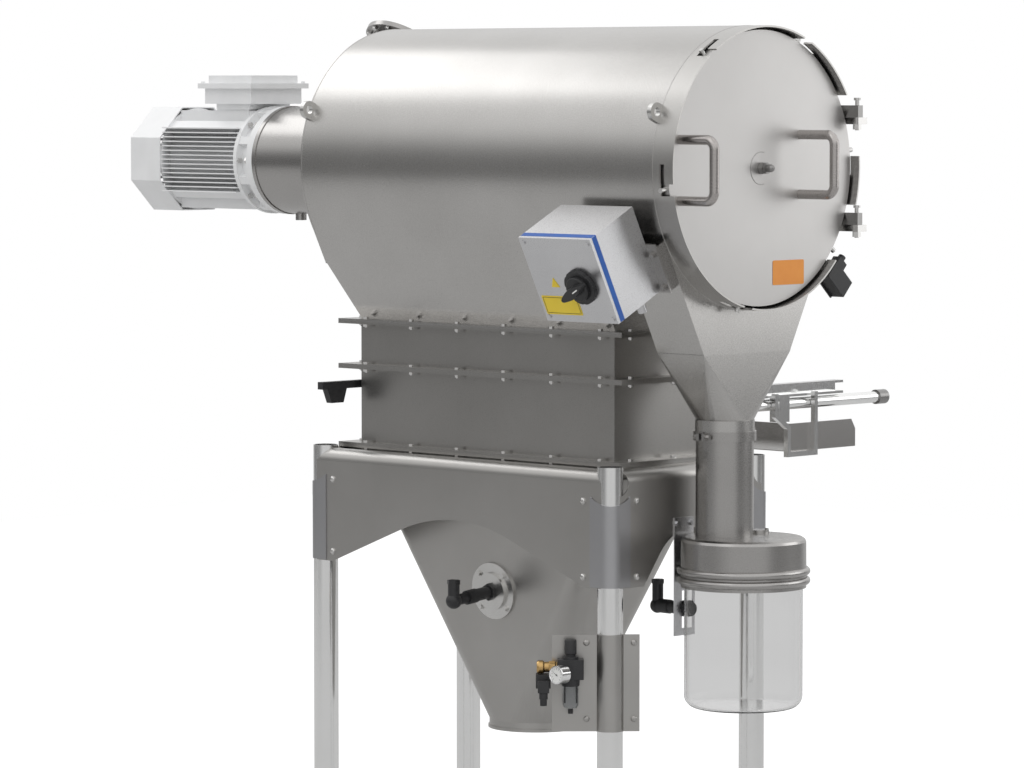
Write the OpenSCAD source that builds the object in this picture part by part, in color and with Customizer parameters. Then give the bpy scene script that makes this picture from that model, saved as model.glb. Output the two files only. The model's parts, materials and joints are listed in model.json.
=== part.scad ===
// Drum sieving machine with a square to round hopper, bayonet door and end mounted motor.
// X is across the machine, Y runs along the drum with the door at minus Y, Z is up.
// The origin lies on the floor, midway between the four legs.

/* [Frame] */
// Outside diameter of each leg tube
leg_d = 60.3; // [59:0.1:61.5]
// Wall of each leg tube
leg_wall = 2.6; // [2:0.1:4]
// Height of the leg tops above the floor
leg_top = 1180; // [1000:5:1500]
// Half the distance between left and right legs
leg_x = 248; // [246:1:256]
// Half the distance between front and rear legs
leg_y = 475; // [472:1:482]
// Edge length of each foot plate
foot_size = 130; // [120:2:150]
// Thickness of each foot plate
foot_t = 10; // [8:1:16]
// Radius of the anchor holes
anchor_r = 7; // [5:0.5:9]
// Distance of the anchor holes from the leg axis, along X and along Y
anchor_off = 46; // [43:1:50]
// Thickness of the frame sheets
panel_t = 2.5; // [2:0.25:4]
// Depth of the frame sheets below the leg tops
panel_drop = 280; // [270:2:300]
// Reach of the corner covers from the leg axis
cover_reach = 34; // [33:1:44]

/* [Housings] */
// Half width of the box walls
box_x = 177; // [174:1:180]
// Half length of the box walls
box_y = 422; // [419:1:425]
// Half width of the flange plates
flange_x = 207; // [205:1:210]
// Half length of the flange plates
flange_y = 472; // [468:1:474]
// Thickness of one flange plate
flange_t = 6; // [5:0.5:8]
// Wall of the boxes and of the drum housing
wall = 3; // [2:0.5:4]
// Height of the lower box between its flanges
lower_h = 180; // [174:2:200]
// Height of the upper box between its flanges
upper_h = 98; // [94:1:110]
// Outside radius of the drum housing
drum_r = 327; // [325:1:329]
// Front end of the drum housing
drum_front = -676; // [-680:1:-674]
// Rear end of the drum housing
drum_rear = 478; // [476:1:486]
// Height of the drum axis above the top flange
drum_rise = 379; // [377:1:384]
// Depth of the hopper below its flange
hopper_h = 644; // [600:4:680]
// Outside radius of the hopper outlet
outlet_r = 112.5; // [108:0.5:118]

/* [Door] */
// Radial step from the outside of the drum to the rim of the door
door_step = 10; // [9.5:0.5:12]
// Depth of the door face behind the collar edge
door_recess = 22; // [20:1:24]
// Depth of the locking collar
collar_depth = 62; // [60:1:64]
// Wall of the locking collar
collar_t = 4; // [3.5:0.25:4.5]
// Diameter of the locking pins
pin_d = 12; // [10:0.5:12]
// Diameter of the door handle tube
grip_d = 22; // [20:0.5:25]
// Stand off of the door handles
grip_out = 115; // [105:1:125]
// Position of the hinge axis across the machine
hinge_x = 307; // [306:0.5:308]
// Radius of the hinge pins
hinge_pin_r = 5; // [4:0.5:5.5]

/* [Outlet and jar] */
// Centre of the reject tube along the drum
reject_y = -607; // [-609:1:-605]
// Radius of the reject tube
reject_r = 67.5; // [65:0.5:70]
// Centre of the jar along the drum
jar_y = -666; // [-670:1:-662]
// Outside radius of the jar
jar_r = 137.5; // [135:0.5:140]
// Wall of the jar
jar_wall = 5; // [4:0.5:7]
// Height of the jar below its lid
jar_h = 299; // [280:2:320]

/* [Drive and inlet] */
// Outside radius of the inlet housing
inlet_r = 135; // [132:0.5:137]
// Rear end of the inlet housing
inlet_end = 860; // [850:1:880]
// Outside radius of the feed nozzle
nozzle_r = 75; // [70:0.5:78]
// Tilt of the feed nozzle from upright
nozzle_tilt = 33; // [25:1:40]
// Length of the finned motor frame
motor_l = 281; // [270:1:300]
// Radius of the motor frame under its fins
motor_r = 100; // [97:0.5:102]
// Radius of the drive shaft
shaft_r = 25; // [22:0.5:27]
// Radial room between the drum and the sieve basket
basket_room = 62; // [57:1:72]

/* [Magnet drawer] */
// Distance of the drawer rails from the machine centre
rail_y = 355; // [350:1:360]
// Radius of the pull tubes
pull_r = 14; // [12:0.5:14.5]
// Length of the pull tubes outside the box
pull_len = 697; // [660:1:720]

/* [Hidden] */
$fn = 96;
fit = 0.05;
gap = 0.3;
leg_r = leg_d / 2;
panel_x = leg_x + leg_r;
panel_y = leg_y + leg_r;
z_roll = leg_top - leg_r - flange_t;
z_panel = leg_top - panel_drop;
z_f3 = leg_top;
z_low = z_f3 + flange_t;
z_f2 = z_low + lower_h;
z_up = z_f2 + 2 * flange_t;
z_f1 = z_up + upper_h;
z_trough = z_f1 + 2 * flange_t;
drum_z = z_trough + drum_rise;
z_hop = z_f3 - flange_t;
z_out = z_hop - hopper_h;
side_a = 26.8;
bolt_ys = [-390, -234, -78, 78, 234, 390];
bolt_xs = [-150, 0, 150];
bolt_r = 4;
cover_out = leg_r + panel_t;
cover_bolt = 57;
cover_h = 209;
cover_zs = [leg_top - 80, leg_top - 256];
funnel_back = drum_front + 143;
door_r = drum_r - door_step;
basket_r = drum_r - basket_room;
basket_end = drum_rear - 38;
ring_t = 4;
lip = 1;
collar_front = drum_front - collar_depth;
door_face = collar_front + door_recess;
door_plate = 4;
door_depth = 22;
pin_y = door_face + 11;
pin_angles = [180, 118, 56.5, -1.3, -44, -110];
turn = 8;
hinge_y = collar_front - 7;
lug_angles = [157.4, 30];
arm_up = 129;
arm_low = -122;
arm_h = 14;
z_tube = leg_top + 100;
z_fold = leg_top + 262.6;
z_lid = leg_top - 165;
z_jar = leg_top - 281;
knuckle = 8.5;
port_z = leg_top - 331;
port_tilt = atan((box_x - outlet_r) / hopper_h);
port_x = -box_x + (z_hop - port_z) * tan(port_tilt);
iso_back = drum_r + 28;
iso_front = iso_back + 158;
inlet_end_t = 12;
flat_in = 0.5;
flat_r = drum_r - flat_in;
fold_x = side_x(flat_r, drum_z - z_fold);
motor_start = inlet_end + 70;
motor_end = motor_start + motor_l;
cowl_end = motor_end + 112;
bearing_r = 45;
nozzle_y = 654;
nozzle_rim = 358;
drawer_z0 = z_f3 + 48;
pull_z = z_f3 + 102;
pull_end = box_x + 6 + pull_len;
rail_z = z_f3 + 120;
rail_half = 15;
magnet_z = z_f3 + 83;
sensor_x = -22;
gauge_z = -470;

// Profile drawn across the machine, pushed along the drum from y0 to y1.
module xz(y0, y1) {
  translate([0, y1, 0]) rotate([90, 0, 0]) linear_extrude(y1 - y0) children();
}

// Profile drawn along the drum, pushed across the machine from x0 to x1.
module yz(x0, x1) {
  translate([x0, 0, 0]) rotate([90, 0, 90]) linear_extrude(x1 - x0) children();
}

// Round bar along the drum.
module bar_y(r, y0, y1) {
  translate([0, y0, 0]) rotate([-90, 0, 0]) cylinder(h = y1 - y0, r = r);
}

// Round bar across the machine.
module bar_x(r, x0, x1) {
  translate([x0, 0, 0]) rotate([0, 90, 0]) cylinder(h = x1 - x0, r = r);
}

// Tube along the drum.
module tube_y(ro, ri, y0, y1) {
  difference() {
    bar_y(ro, y0, y1);
    bar_y(ri, y0 - 1, y1 + 1);
  }
}

// Block given by its low and high corners.
module block(a, b) {
  translate(a) cube(b - a);
}

// Wedge around the drum axis, used for cuts in the collar.
module wedge(a0, a1, y0, y1) {
  xz(y0, y1) polygon([[0, 0], [420 * cos(a0), 420 * sin(a0)], [420 * cos((a0 + a1) / 2),
    420 * sin((a0 + a1) / 2)], [420 * cos(a1), 420 * sin(a1)]]);
}

// Copies at the four legs.
module at_legs() {
  for (sx = [-1, 1]) for (sy = [-1, 1])
    translate([sx * leg_x, sy * leg_y, 0]) scale_side(sx, sy) children();
}

// Turns a corner piece made for plus X and plus Y to its own corner.
module scale_side(sx, sy) {
  mirror([sx < 0 ? 1 : 0, 0, 0]) mirror([0, sy < 0 ? 1 : 0, 0]) children();
}

// Hexagon bolt along plus Z with its head at the origin and a nut below the grip.
module bolt(r, grip, nut = true) {
  cylinder(h = 0.64 * r * 2, r = r * 1.85, $fn = 6);
  translate([0, 0, -grip]) cylinder(h = grip, r = r);
  if (nut) {
    translate([0, 0, -grip - 1.6 * r]) cylinder(h = 1.6 * r, r = r * 1.85, $fn = 6);
    translate([0, 0, -grip - 2.2 * r]) cylinder(h = 0.6 * r, r = r);
  }
}

// Button head screw along plus Z.
module button(r, grip) {
  cylinder(h = 1.5, r = r * 2.1);
  translate([0, 0, 1.5]) rotate_extrude() polygon([[0, 0], [r * 1.8, 0], [r * 1.7, r * 0.5],
    [r * 1.2, r * 0.95], [r * 0.6, r * 1.1], [r * 0.6, r * 0.5], [0, r * 0.5]]);
  translate([0, 0, -grip]) cylinder(h = grip, r = r);
  translate([0, 0, -grip - 1.6 * r]) cylinder(h = 1.6 * r, r = r * 1.8, $fn = 6);
}

module legs() {
  color("silver") at_legs() difference() {
    translate([0, 0, foot_t]) cylinder(h = leg_top - foot_t, r = leg_r);
    translate([0, 0, foot_t - 1]) cylinder(h = leg_top, r = leg_r - leg_wall);
  }
}

module foot_plates() {
  color("silver") at_legs() difference() {
    block([-foot_size / 2, -foot_size / 2, 0], [foot_size / 2, foot_size / 2, foot_t]);
    for (s = [-1, 1]) translate([s * anchor_off, s * anchor_off, -1]) cylinder(h = foot_t + 2, r = anchor_r);
  }
}

// Bolt positions on the corner covers, holes and bolts share them.
module at_cover_bolts() {
  for (z = cover_zs) {
    translate([-cover_bolt, 0, z]) rotate([-90, 0, 0]) children();
    translate([0, -cover_bolt, z]) rotate([0, 90, 0]) children();
  }
}

module cover_holes() {
  at_legs() at_cover_bolts() cylinder(h = 60, r = bolt_r + 0.5);
}

// Half round roll along the top edge of a sheet, with the sheet's edge below it.
module roll(len) {
  difference() {
    rotate([90, 0, 0]) cylinder(h = len, r = leg_r, center = true);
    rotate([90, 0, 0]) cylinder(h = len + 2, r = leg_r - panel_t, center = true);
    translate([-50, -len, -100]) cube([100, 2 * len, 100]);
  }
}

module leg_cuts() {
  at_legs() cylinder(h = leg_top + 10, r = leg_r);
}

module side_panels() {
  color("gray") for (s = [0, 1]) mirror([s, 0, 0]) difference() {
    union() {
      yz(panel_x - panel_t, panel_x) difference() {
        polygon([[-leg_y, z_roll], [leg_y, z_roll], [leg_y, z_panel], [-leg_y, z_panel]]);
        polygon([[-420, z_panel - 1], [-406, z_panel + 5.5], [-185, leg_top - 188], [185, leg_top - 188],
          [406, z_panel + 5.5], [420, z_panel - 1]]);
        intersection() {
          translate([0, leg_top - 660]) circle(r = 507);
          translate([-185, leg_top - 189]) square([370, 60]);
        }
      }
      translate([leg_x, 0, z_roll]) roll(2 * leg_y);
    }
    leg_cuts();
    cover_holes();
  }
}

module end_panels() {
  color("gray") for (s = [0, 1]) mirror([0, s, 0]) difference() {
    union() {
      xz(panel_y - panel_t, panel_y) difference() {
        polygon([[-leg_x, z_roll], [leg_x, z_roll], [leg_x, z_panel], [-leg_x, z_panel]]);
        polygon([[-166, z_panel - 1], [-112, leg_top - 210], [112, leg_top - 210], [166, z_panel - 1]]);
        intersection() {
          translate([0, leg_top - 294]) circle(r = 140);
          translate([-112, leg_top - 211]) square([224, 60]);
        }
      }
      translate([0, leg_y, z_roll]) rotate([0, 0, 90]) roll(2 * leg_x);
    }
    leg_cuts();
    for (t = [-1, 1]) translate([t * leg_x, 0, z_roll]) rotate([90, 0, 0])
      cylinder(h = 3 * leg_y, r = leg_r, center = true);
    for (t = [-1, 1]) translate([t * leg_x, 0, z_roll - 150])
      cube([2 * leg_r, 2 * leg_y, 300], center = true);
    cover_holes();
  }
}

module cover_plan() {
  difference() {
    union() {
      circle(r = cover_out);
      translate([-cover_reach, 0]) square([cover_reach, cover_out]);
      translate([0, -cover_reach]) square([cover_out, cover_reach]);
    }
    circle(r = leg_r);
    translate([-cover_reach - 1, -cover_reach - 1]) square([cover_reach + 1, cover_reach + 1 + leg_r]);
    translate([-cover_reach - 1, -cover_reach - 1]) square([cover_reach + 1 + leg_r, cover_reach + 1]);
  }
}

// Round corner sheets, their top edge dips around the leg.
module corner_covers() {
  color("lightsteelblue") at_legs() difference() {
    translate([0, 0, z_panel + 2]) linear_extrude(cover_h) cover_plan();
    translate([0, 0, z_panel + 2 + cover_h + 44]) rotate([0, 0, -45]) rotate([-90, 0, 0])
      cylinder(h = 200, r = 64);
  }
}

module cover_bolts() {
  color("silver") at_legs() {
    for (z = cover_zs) {
      translate([-cover_bolt, leg_r, z]) rotate([-90, 0, 0]) button(bolt_r, panel_t);
      translate([leg_r, -cover_bolt, z]) rotate([0, 90, 0]) button(bolt_r, panel_t);
    }
  }
}

// Flange plate with the opening of the box walls and its bolt holes.
module flange_plate(z, t, inner_x, inner_y) {
  difference() {
    block([-flange_x, -flange_y, z], [flange_x, flange_y, z + t]);
    block([-inner_x, -inner_y, z - 1], [inner_x, inner_y, z + t + 1]);
    at_flange_bolts() translate([0, 0, z - 1]) cylinder(h = t + 2, r = bolt_r + 0.5);
  }
}

module at_flange_bolts() {
  for (sx = [-1, 1]) for (y = bolt_ys) translate([sx * (box_x + 15), y, 0]) children();
  for (sy = [-1, 1]) for (x = bolt_xs) translate([x, sy * (box_y + 25), 0]) children();
}

module box_walls(z0, z1) {
  difference() {
    block([-box_x, -box_y, z0], [box_x, box_y, z1]);
    block([wall - box_x, wall - box_y, z0 - 1], [box_x - wall, box_y - wall, z1 + 1]);
  }
}

// Square to round body, drawn for the outside or for the inside.
module hopper_form(inset, extra) {
  hull() {
    block([inset - box_x, inset - box_y, z_hop - 0.5 + extra],
      [box_x - inset, box_y - inset, z_hop + extra]);
    translate([0, 0, z_out - extra]) cylinder(h = 0.5, r = outlet_r - inset, $fn = 64);
  }
}

module hopper() {
  color("gray") {
    difference() {
      union() {
        hopper_form(0, 0);
        translate([0, 0, z_out - 22]) cylinder(h = 22, r = outlet_r);
        translate([0, 0, z_out - 22]) cylinder(h = 7, r = outlet_r + 3);
      }
      hopper_form(wall, 0.01);
      translate([0, 0, z_out - 23]) cylinder(h = 24, r = outlet_r - wall);
      translate([port_x, 0, port_z]) rotate([0, -90 - port_tilt, 0]) translate([0, 0, -20])
        cylinder(h = 30, r = 16);
    }
    flange_plate(z_hop, flange_t, box_x - wall, box_y - wall);
  }
}

// Frame of the sensor port, its plus Z leaves the left hopper wall.
module port_frame() {
  translate([port_x, 0, port_z]) rotate([0, -90 - port_tilt, 0]) children();
}

module hopper_port() {
  color("silver") port_frame() {
    difference() {
      union() {
        translate([0, 0, 0.1]) cylinder(h = 5.9, r = 68.5);
        translate([0, 0, 6]) cylinder(h = 8, r = 45);
      }
      translate([0, 0, -1]) cylinder(h = 20, r = 15 + fit);
    }
    for (a = [45:90:315]) rotate([0, 0, a]) translate([57, 0, 6]) {
      cylinder(h = 1.5, r = 8);
      translate([0, 0, 1.5]) cylinder(h = 5, r = 6.5, $fn = 6);
    }
  }
}

module hopper_sensor() {
  color("silver") port_frame() translate([0, 0, 14]) cylinder(h = 9, r = 21, $fn = 6);
  port_frame() translate([0, 0, -10]) color("gray") cylinder(h = 75, r = 15);
  port_frame() color("black") {
    translate([0, 0, 65]) cylinder(h = 30, r = 17);
    translate([0, 0, 95]) cylinder(h = 40, r = 13);
    translate([0, 0, 138]) sphere(r = 19);
  }
  color("black") translate([port_x - 138 * cos(port_tilt), 0, port_z - 138 * sin(port_tilt)]) {
    translate([0, 0, 6]) cylinder(h = 34, r = 14);
    translate([0, 0, 40]) cylinder(h = 10, r = 16, $fn = 6);
  }
}

module lower_box() {
  color("gray") difference() {
    union() {
      box_walls(z_low, z_f2);
      flange_plate(z_f3, flange_t, box_x - wall, box_y - wall);
      flange_plate(z_f2, flange_t, box_x - wall, box_y - wall);
    }
    block([box_x - wall - 1, -340, z_f3 + 60], [box_x + 1, 340, z_f3 + 106]);
  }
}

module upper_box() {
  color("gray") {
    box_walls(z_up, z_f1);
    flange_plate(z_up - flange_t, flange_t, box_x - wall, box_y - wall);
    flange_plate(z_f1, flange_t, box_x - wall, box_y - wall);
  }
}

module flange_bolts() {
  color("silver") for (z = [z_f3 + flange_t, z_f2 + 2 * flange_t, z_f1 + 2 * flange_t])
    at_flange_bolts() translate([0, 0, z]) bolt(bolt_r, 2 * flange_t);
}

// Half width of the flat housing side at a height below the drum axis, for a given radius.
function side_x(r, dz) = (r - dz * sin(side_a)) / cos(side_a);

// Outline of the trough below the drum, from just inside the round part to a given depth and floor.
module trough_outline(r, depth, floor) {
  f = r - flat_in;
  polygon(concat([[-f * cos(side_a), -f * sin(side_a)], [f * cos(side_a), -f * sin(side_a)],
    [side_x(f, depth), -depth]],
    floor > depth ? [[side_x(f, depth), -floor], [-side_x(f, depth), -floor]] : [],
    [[-side_x(f, depth), -depth]]));
}

module drum_housing() {
  fold = drum_z - z_fold;
  base = drum_rise + flange_t;
  color("silver") translate([0, 0, drum_z]) difference() {
    union() {
      rotate([0, -90, 0]) bar_y(drum_r, drum_front, drum_rear - 4);
      xz(drum_front, funnel_back) trough_outline(drum_r, fold, fold);
      intersection() {
        xz(-box_y, drum_rear - 4) trough_outline(drum_r, drum_rise, drum_rise + 2);
        yz(-400, 400) polygon([[-box_y, 0], [drum_rear - 4, 0], [drum_rear - 4, -244],
          [box_y, -drum_rise], [box_y, -drum_rise - 3], [-box_y, -drum_rise - 3]]);
      }
      block([-flange_x, -flange_y, -base], [flange_x, flange_y, -drum_rise]);
    }
    rotate([0, -90, 0]) bar_y(drum_r - wall - lip, drum_front - 1, drum_front + wall + 1);
    rotate([0, -90, 0]) bar_y(drum_r - wall, drum_front + wall, drum_rear);
    xz(drum_front + wall, funnel_back - wall) trough_outline(drum_r - wall, fold + 1, fold + 2);
    intersection() {
      xz(-box_y + wall, drum_rear) trough_outline(drum_r - wall, drum_rise, base + 1);
      yz(-400, 400) polygon([[wall - box_y, 0], [drum_rear, 0], [drum_rear, -229], [drum_rear - 7, -244],
        [box_y - wall, -drum_rise], [box_y - wall, -base - 2], [wall - box_y, -base - 2]]);
    }
    at_flange_bolts() translate([0, 0, -base - 1]) cylinder(h = flange_t + 2, r = bolt_r + 0.5);
  }
}

module rear_plate() {
  color("silver") translate([0, 0, drum_z]) difference() {
    union() {
      bar_y(drum_r, drum_rear - 4, drum_rear);
      xz(drum_rear - 4, drum_rear) trough_outline(drum_r, 243, 244);
    }
    bar_y(inlet_r - wall, drum_rear - 5, drum_rear + 1);
  }
}

// Collar with a slot and an open mouth for each locking pin, and gaps for the hinge arms.
module locking_collar() {
  slot_w = pin_d + 2;
  slot_back = pin_y + slot_w / 2;
  slot_front = pin_y - slot_w / 2;
  color("silver") translate([0, 0, drum_z]) difference() {
    bar_y(drum_r, collar_front, drum_front);
    bar_y(drum_r - collar_t, collar_front - 1, drum_front + 1);
    for (a = pin_angles) wedge(a - 2.2, a + turn, slot_front, slot_back);
    for (a = pin_angles) wedge(a + turn - 2.4, a + turn + 2.4, collar_front - 1, slot_back);
    wedge(5, 31, collar_front - 1, drum_front - 3);
    wedge(-42, -16, collar_front - 1, drum_front - 3);
  }
}

module partition_ring() {
  color("silver") translate([0, 0, drum_z]) {
    tube_y(drum_r - wall - gap, basket_r + gap, funnel_back - ring_t, funnel_back);
    tube_y(drum_r - wall - gap, basket_r + gap, basket_end - ring_t, basket_end);
  }
}

module funnel_form(inset) {
  hull() {
    translate([inset - fold_x, drum_front + inset, z_fold - drum_z - 2])
      cube([2 * (fold_x - inset), funnel_back - drum_front - 2 * inset, 2]);
    translate([0, reject_y, z_tube + 4 - drum_z]) cylinder(h = 2, r = reject_r - inset, $fn = 32);
  }
}

module reject_funnel() {
  fold = drum_z - z_fold;
  color("silver") translate([0, 0, drum_z]) {
    difference() {
      union() {
        funnel_form(0);
        translate([0, reject_y, z_tube - 22 - drum_z]) cylinder(h = 26, r = reject_r + 2);
      }
      funnel_form(wall);
      block([wall - fold_x, drum_front + wall, -fold - 1], [fold_x - wall, funnel_back - wall, -fold + 1]);
      translate([0, reject_y, z_tube - 23 - drum_z]) cylinder(h = 28, r = reject_r - wall);
    }
  }
}

module reject_clamp() {
  color("silver") translate([0, reject_y, z_tube - 44]) {
    difference() {
      cylinder(h = 22, r = reject_r + 6);
      translate([0, 0, -1]) cylinder(h = 24, r = reject_r + 2);
      translate([-100, -3, -1]) cube([40, 6, 24]);
    }
    for (s = [-1, 1]) translate([-86, s * 8 - 4, 3]) cube([16, 8, 16]);
    translate([-79, -24, 11]) rotate([-90, 0, 0]) cylinder(h = 12, r = 6, $fn = 6);
    translate([-79, 12, 11]) rotate([-90, 0, 0]) cylinder(h = 12, r = 6, $fn = 6);
    translate([72, -5, 4]) cube([18, 10, 14]);
    translate([81, -14, 11]) rotate([-90, 0, 0]) cylinder(h = 9, r = 6);
    translate([78, -22, 4]) cube([6, 8, 22]);
  }
}

module reject_tube() {
  color("silver") translate([0, reject_y, 0]) difference() {
    union() {
      translate([0, 0, z_lid - 2]) cylinder(h = z_tube - 22 - z_lid + 2, r = reject_r);
      translate([0, 0, z_tube - 44]) cylinder(h = 22, r = reject_r + 2);
    }
    translate([0, 0, z_lid - 4]) cylinder(h = 300, r = reject_r - wall);
  }
}

module jar_lid() {
  lid_h = z_lid - z_jar - 50;
  color("silver") translate([0, jar_y, z_jar]) difference() {
    union() {
      rotate_extrude() polygon([[0, 50], [jar_r + 8, 50], [jar_r + 7.5, 50 + lid_h - 10],
        [jar_r + 4.5, 50 + lid_h - 4], [jar_r - 2, 50 + lid_h], [0, 50 + lid_h]]);
      cylinder(h = 50, r = jar_r + 8);
      for (z = [8, 30]) translate([0, 0, z]) rotate_extrude() translate([jar_r + 8, 8]) circle(r = 9);
    }
    translate([0, 0, -10]) cylinder(h = 28, r = jar_r + 5);
    translate([0, 0, 10]) cylinder(h = 37 + lid_h, r = jar_r - jar_wall);
    translate([0, reject_y - jar_y, 20]) cylinder(h = 200, r = reject_r);
    translate([88, 30, 20]) cylinder(h = 200, r = 16);
  }
}

module jar_lid_window() {
  color("lightblue") translate([88, jar_y + 30, z_lid]) {
    cylinder(h = 8, r = 24);
    for (s = [-1, 1]) rotate([0, 0, 30]) translate([0, s * 19, 8]) cylinder(h = 4, r = 4.5, $fn = 6);
  }
}

module jar() {
  r = jar_r;
  b = 30;
  color("white", 0.4) translate([0, jar_y, z_jar + 18 - gap]) {
    rotate_extrude() difference() {
      union() {
        translate([0, -jar_h + b]) square([r, jar_h - b]);
        translate([0, -jar_h]) square([r - b, b + 1]);
        translate([r - b, -jar_h + b]) circle(r = b);
        translate([0, -6]) square([r + 4.5, 6]);
      }
      translate([-100, -jar_h - 1]) square([100, jar_h + 20]);
      translate([0, -jar_h + b]) square([r - jar_wall, jar_h]);
      translate([0, -jar_h + jar_wall]) square([r - b, jar_h]);
      translate([r - b, -jar_h + b]) circle(r = b - jar_wall);
    }
  }
}

module jar_sensor_plate() {
  y1 = -panel_y;
  y0 = y1 - 3;
  color("silver") difference() {
    block([sensor_x - 41, y0, leg_top - 405], [sensor_x + 25, y1, leg_top - 128]);
    block([sensor_x - 15.2, y0 - 1, leg_top - 388], [sensor_x + 15.2, y1 + 1, leg_top - 300]);
  }
  color("silver") for (x = [-32, 16]) translate([sensor_x + x, y0, leg_top - 142]) rotate([90, 0, 0])
    cylinder(h = 5, r = 6.5, $fn = 6);
}

module jar_sensor() {
  z = leg_top - 343;
  translate([sensor_x, 0, z]) {
    color("gray") bar_y(15, -525, -458);
    color("silver") translate([0, -panel_y, 0]) rotate([-90, 0, 0]) cylinder(h = 7, r = 21, $fn = 6);
    color("silver") translate([0, -panel_y - 10, 0]) rotate([-90, 0, 0]) cylinder(h = 7, r = 21, $fn = 6);
    color("black") bar_y(16.5, -458, -424);
    color("black") translate([0, -418, 0]) sphere(r = 18);
    color("black") translate([0, -418, 8]) cylinder(h = 44, r = 13);
    color("black") translate([0, -418, 52]) cylinder(h = 10, r = 15, $fn = 6);
  }
}

module sieve_basket() {
  y0 = funnel_back - 16;
  y1 = 450;
  color("gainsboro") translate([0, 0, drum_z]) {
    tube_y(basket_r - 4, basket_r - 6, y0 + 10, y1 - 10);
    tube_y(basket_r, basket_r - 8, y0, y0 + 20);
    tube_y(basket_r, basket_r - 8, y1 - 20, y1);
    tube_y(basket_r, basket_r - 8, -40, -25);
    for (a = [22.5:45:337.5]) rotate([0, a, 0])
      block([basket_r - 7, y0 + 15, -4], [basket_r - 1, y1 - 15, 4]);
  }
}

module rotor_shaft() {
  color("silver") translate([0, 0, drum_z]) {
    bar_y(shaft_r, -620, motor_start + 10);
    bar_y(shaft_r - 7, motor_start + 10, motor_end + 60);
  }
}

// Beater bars on spider arms, a little forward of radial so that they lift the product.
module beaters() {
  color("silver") translate([0, 0, drum_z]) {
    for (y = [-560, -50, 400]) difference() {
      union() {
        bar_y(shaft_r + 18, y - 15, y + 15);
        for (a = [0:90:270]) rotate([0, a, 0]) block([shaft_r + 10, y - 6, -16], [basket_r - 52, y + 6, 16]);
      }
      bar_y(shaft_r, y - 20, y + 20);
    }
    for (a = [0:90:270]) rotate([0, a, 0]) translate([basket_r - 52, 0, 0]) rotate([0, 12, 0])
      block([0, -590, -4], [34, 420, 4]);
  }
}

// Screw flights made of turned plates with a constant pitch.
module feed_screw() {
  color("silver") translate([0, 0, drum_z]) {
    difference() {
      union() {
        bar_y(shaft_r + 8, 500, 820);
        for (i = [0:7]) translate([0, 520 + i * 40, 0]) rotate([0, i * 45, 0]) rotate([12, 0, 0])
          rotate([90, 0, 0]) cylinder(h = 4, r = inlet_r - wall - 12, center = true);
      }
      bar_y(shaft_r, 480, 840);
    }
  }
}

// Frame of the feed nozzle, its plus Z leaves the inlet housing.
module nozzle_frame() {
  translate([0, nozzle_y, drum_z]) rotate([0, nozzle_tilt, 0]) children();
}

module inlet_housing() {
  color("silver") {
    difference() {
      translate([0, 0, drum_z]) union() {
        bar_y(inlet_r, drum_rear, inlet_end - inlet_end_t);
        bar_y(inlet_r + 2, inlet_end - inlet_end_t, inlet_end);
      }
      translate([0, 0, drum_z]) bar_y(inlet_r - wall, drum_rear - 1, inlet_end - inlet_end_t);
      translate([0, 0, drum_z]) bar_y(bearing_r, inlet_end - inlet_end_t - 1, inlet_end + 1);
      nozzle_frame() cylinder(h = 200, r = nozzle_r - wall - 1);
      translate([0, 824, drum_z - inlet_r - 1]) cylinder(h = 20, r = 8);
    }
    translate([0, 824, drum_z - inlet_r - 16]) difference() {
      cylinder(h = 18, r = 14);
      translate([0, 0, -1]) cylinder(h = 40, r = 8);
    }
  }
}

module inlet_nozzle() {
  color("silver") difference() {
    nozzle_frame() union() {
      cylinder(h = nozzle_rim - 12, r = nozzle_r);
      translate([0, 0, nozzle_rim - 12]) cylinder(h = 12, r = 96);
    }
    nozzle_frame() cylinder(h = 161, r = nozzle_r - wall - 1);
    nozzle_frame() translate([0, 0, 160]) cylinder(h = nozzle_rim - 159, r = nozzle_r - wall);
    nozzle_frame() for (a = [15:30:345]) rotate([0, 0, a]) translate([85, 0, nozzle_rim - 20])
      cylinder(h = 30, r = 4.5);
    translate([0, 0, drum_z]) bar_y(inlet_r, drum_rear - 100, inlet_end + 1);
  }
}

module nozzle_bolts() {
  color("silver") nozzle_frame() for (a = [15:30:345]) rotate([0, 0, a]) translate([85, 0, nozzle_rim - 12])
    mirror([0, 0, 1]) {
      cylinder(h = 6, r = 7, $fn = 6);
      translate([0, 0, -11]) cylinder(h = 11, r = 4);
    }
}

module shaft_bearing() {
  color("gray") translate([0, 0, drum_z]) {
    tube_y(bearing_r, shaft_r + fit, inlet_end - inlet_end_t, inlet_end);
    tube_y(bearing_r + 15, shaft_r + fit, inlet_end - inlet_end_t - 14, inlet_end - inlet_end_t);
  }
}

module motor_flange() {
  color("white") translate([0, 0, drum_z]) difference() {
    union() {
      bar_y(inlet_r + 1, inlet_end, inlet_end + 22);
      bar_y(inlet_r - 20, inlet_end + 22, motor_start - 12);
      bar_y(inlet_r + 1, motor_start - 12, motor_start);
      for (a = [22.5:45:337.5]) rotate([0, a, 0]) block([inlet_r - 30, inlet_end + 20, -10],
        [inlet_r - 2, motor_start - 10, 10]);
    }
    bar_y(shaft_r + 12, inlet_end - 1, motor_start + 1);
  }
}

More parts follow.
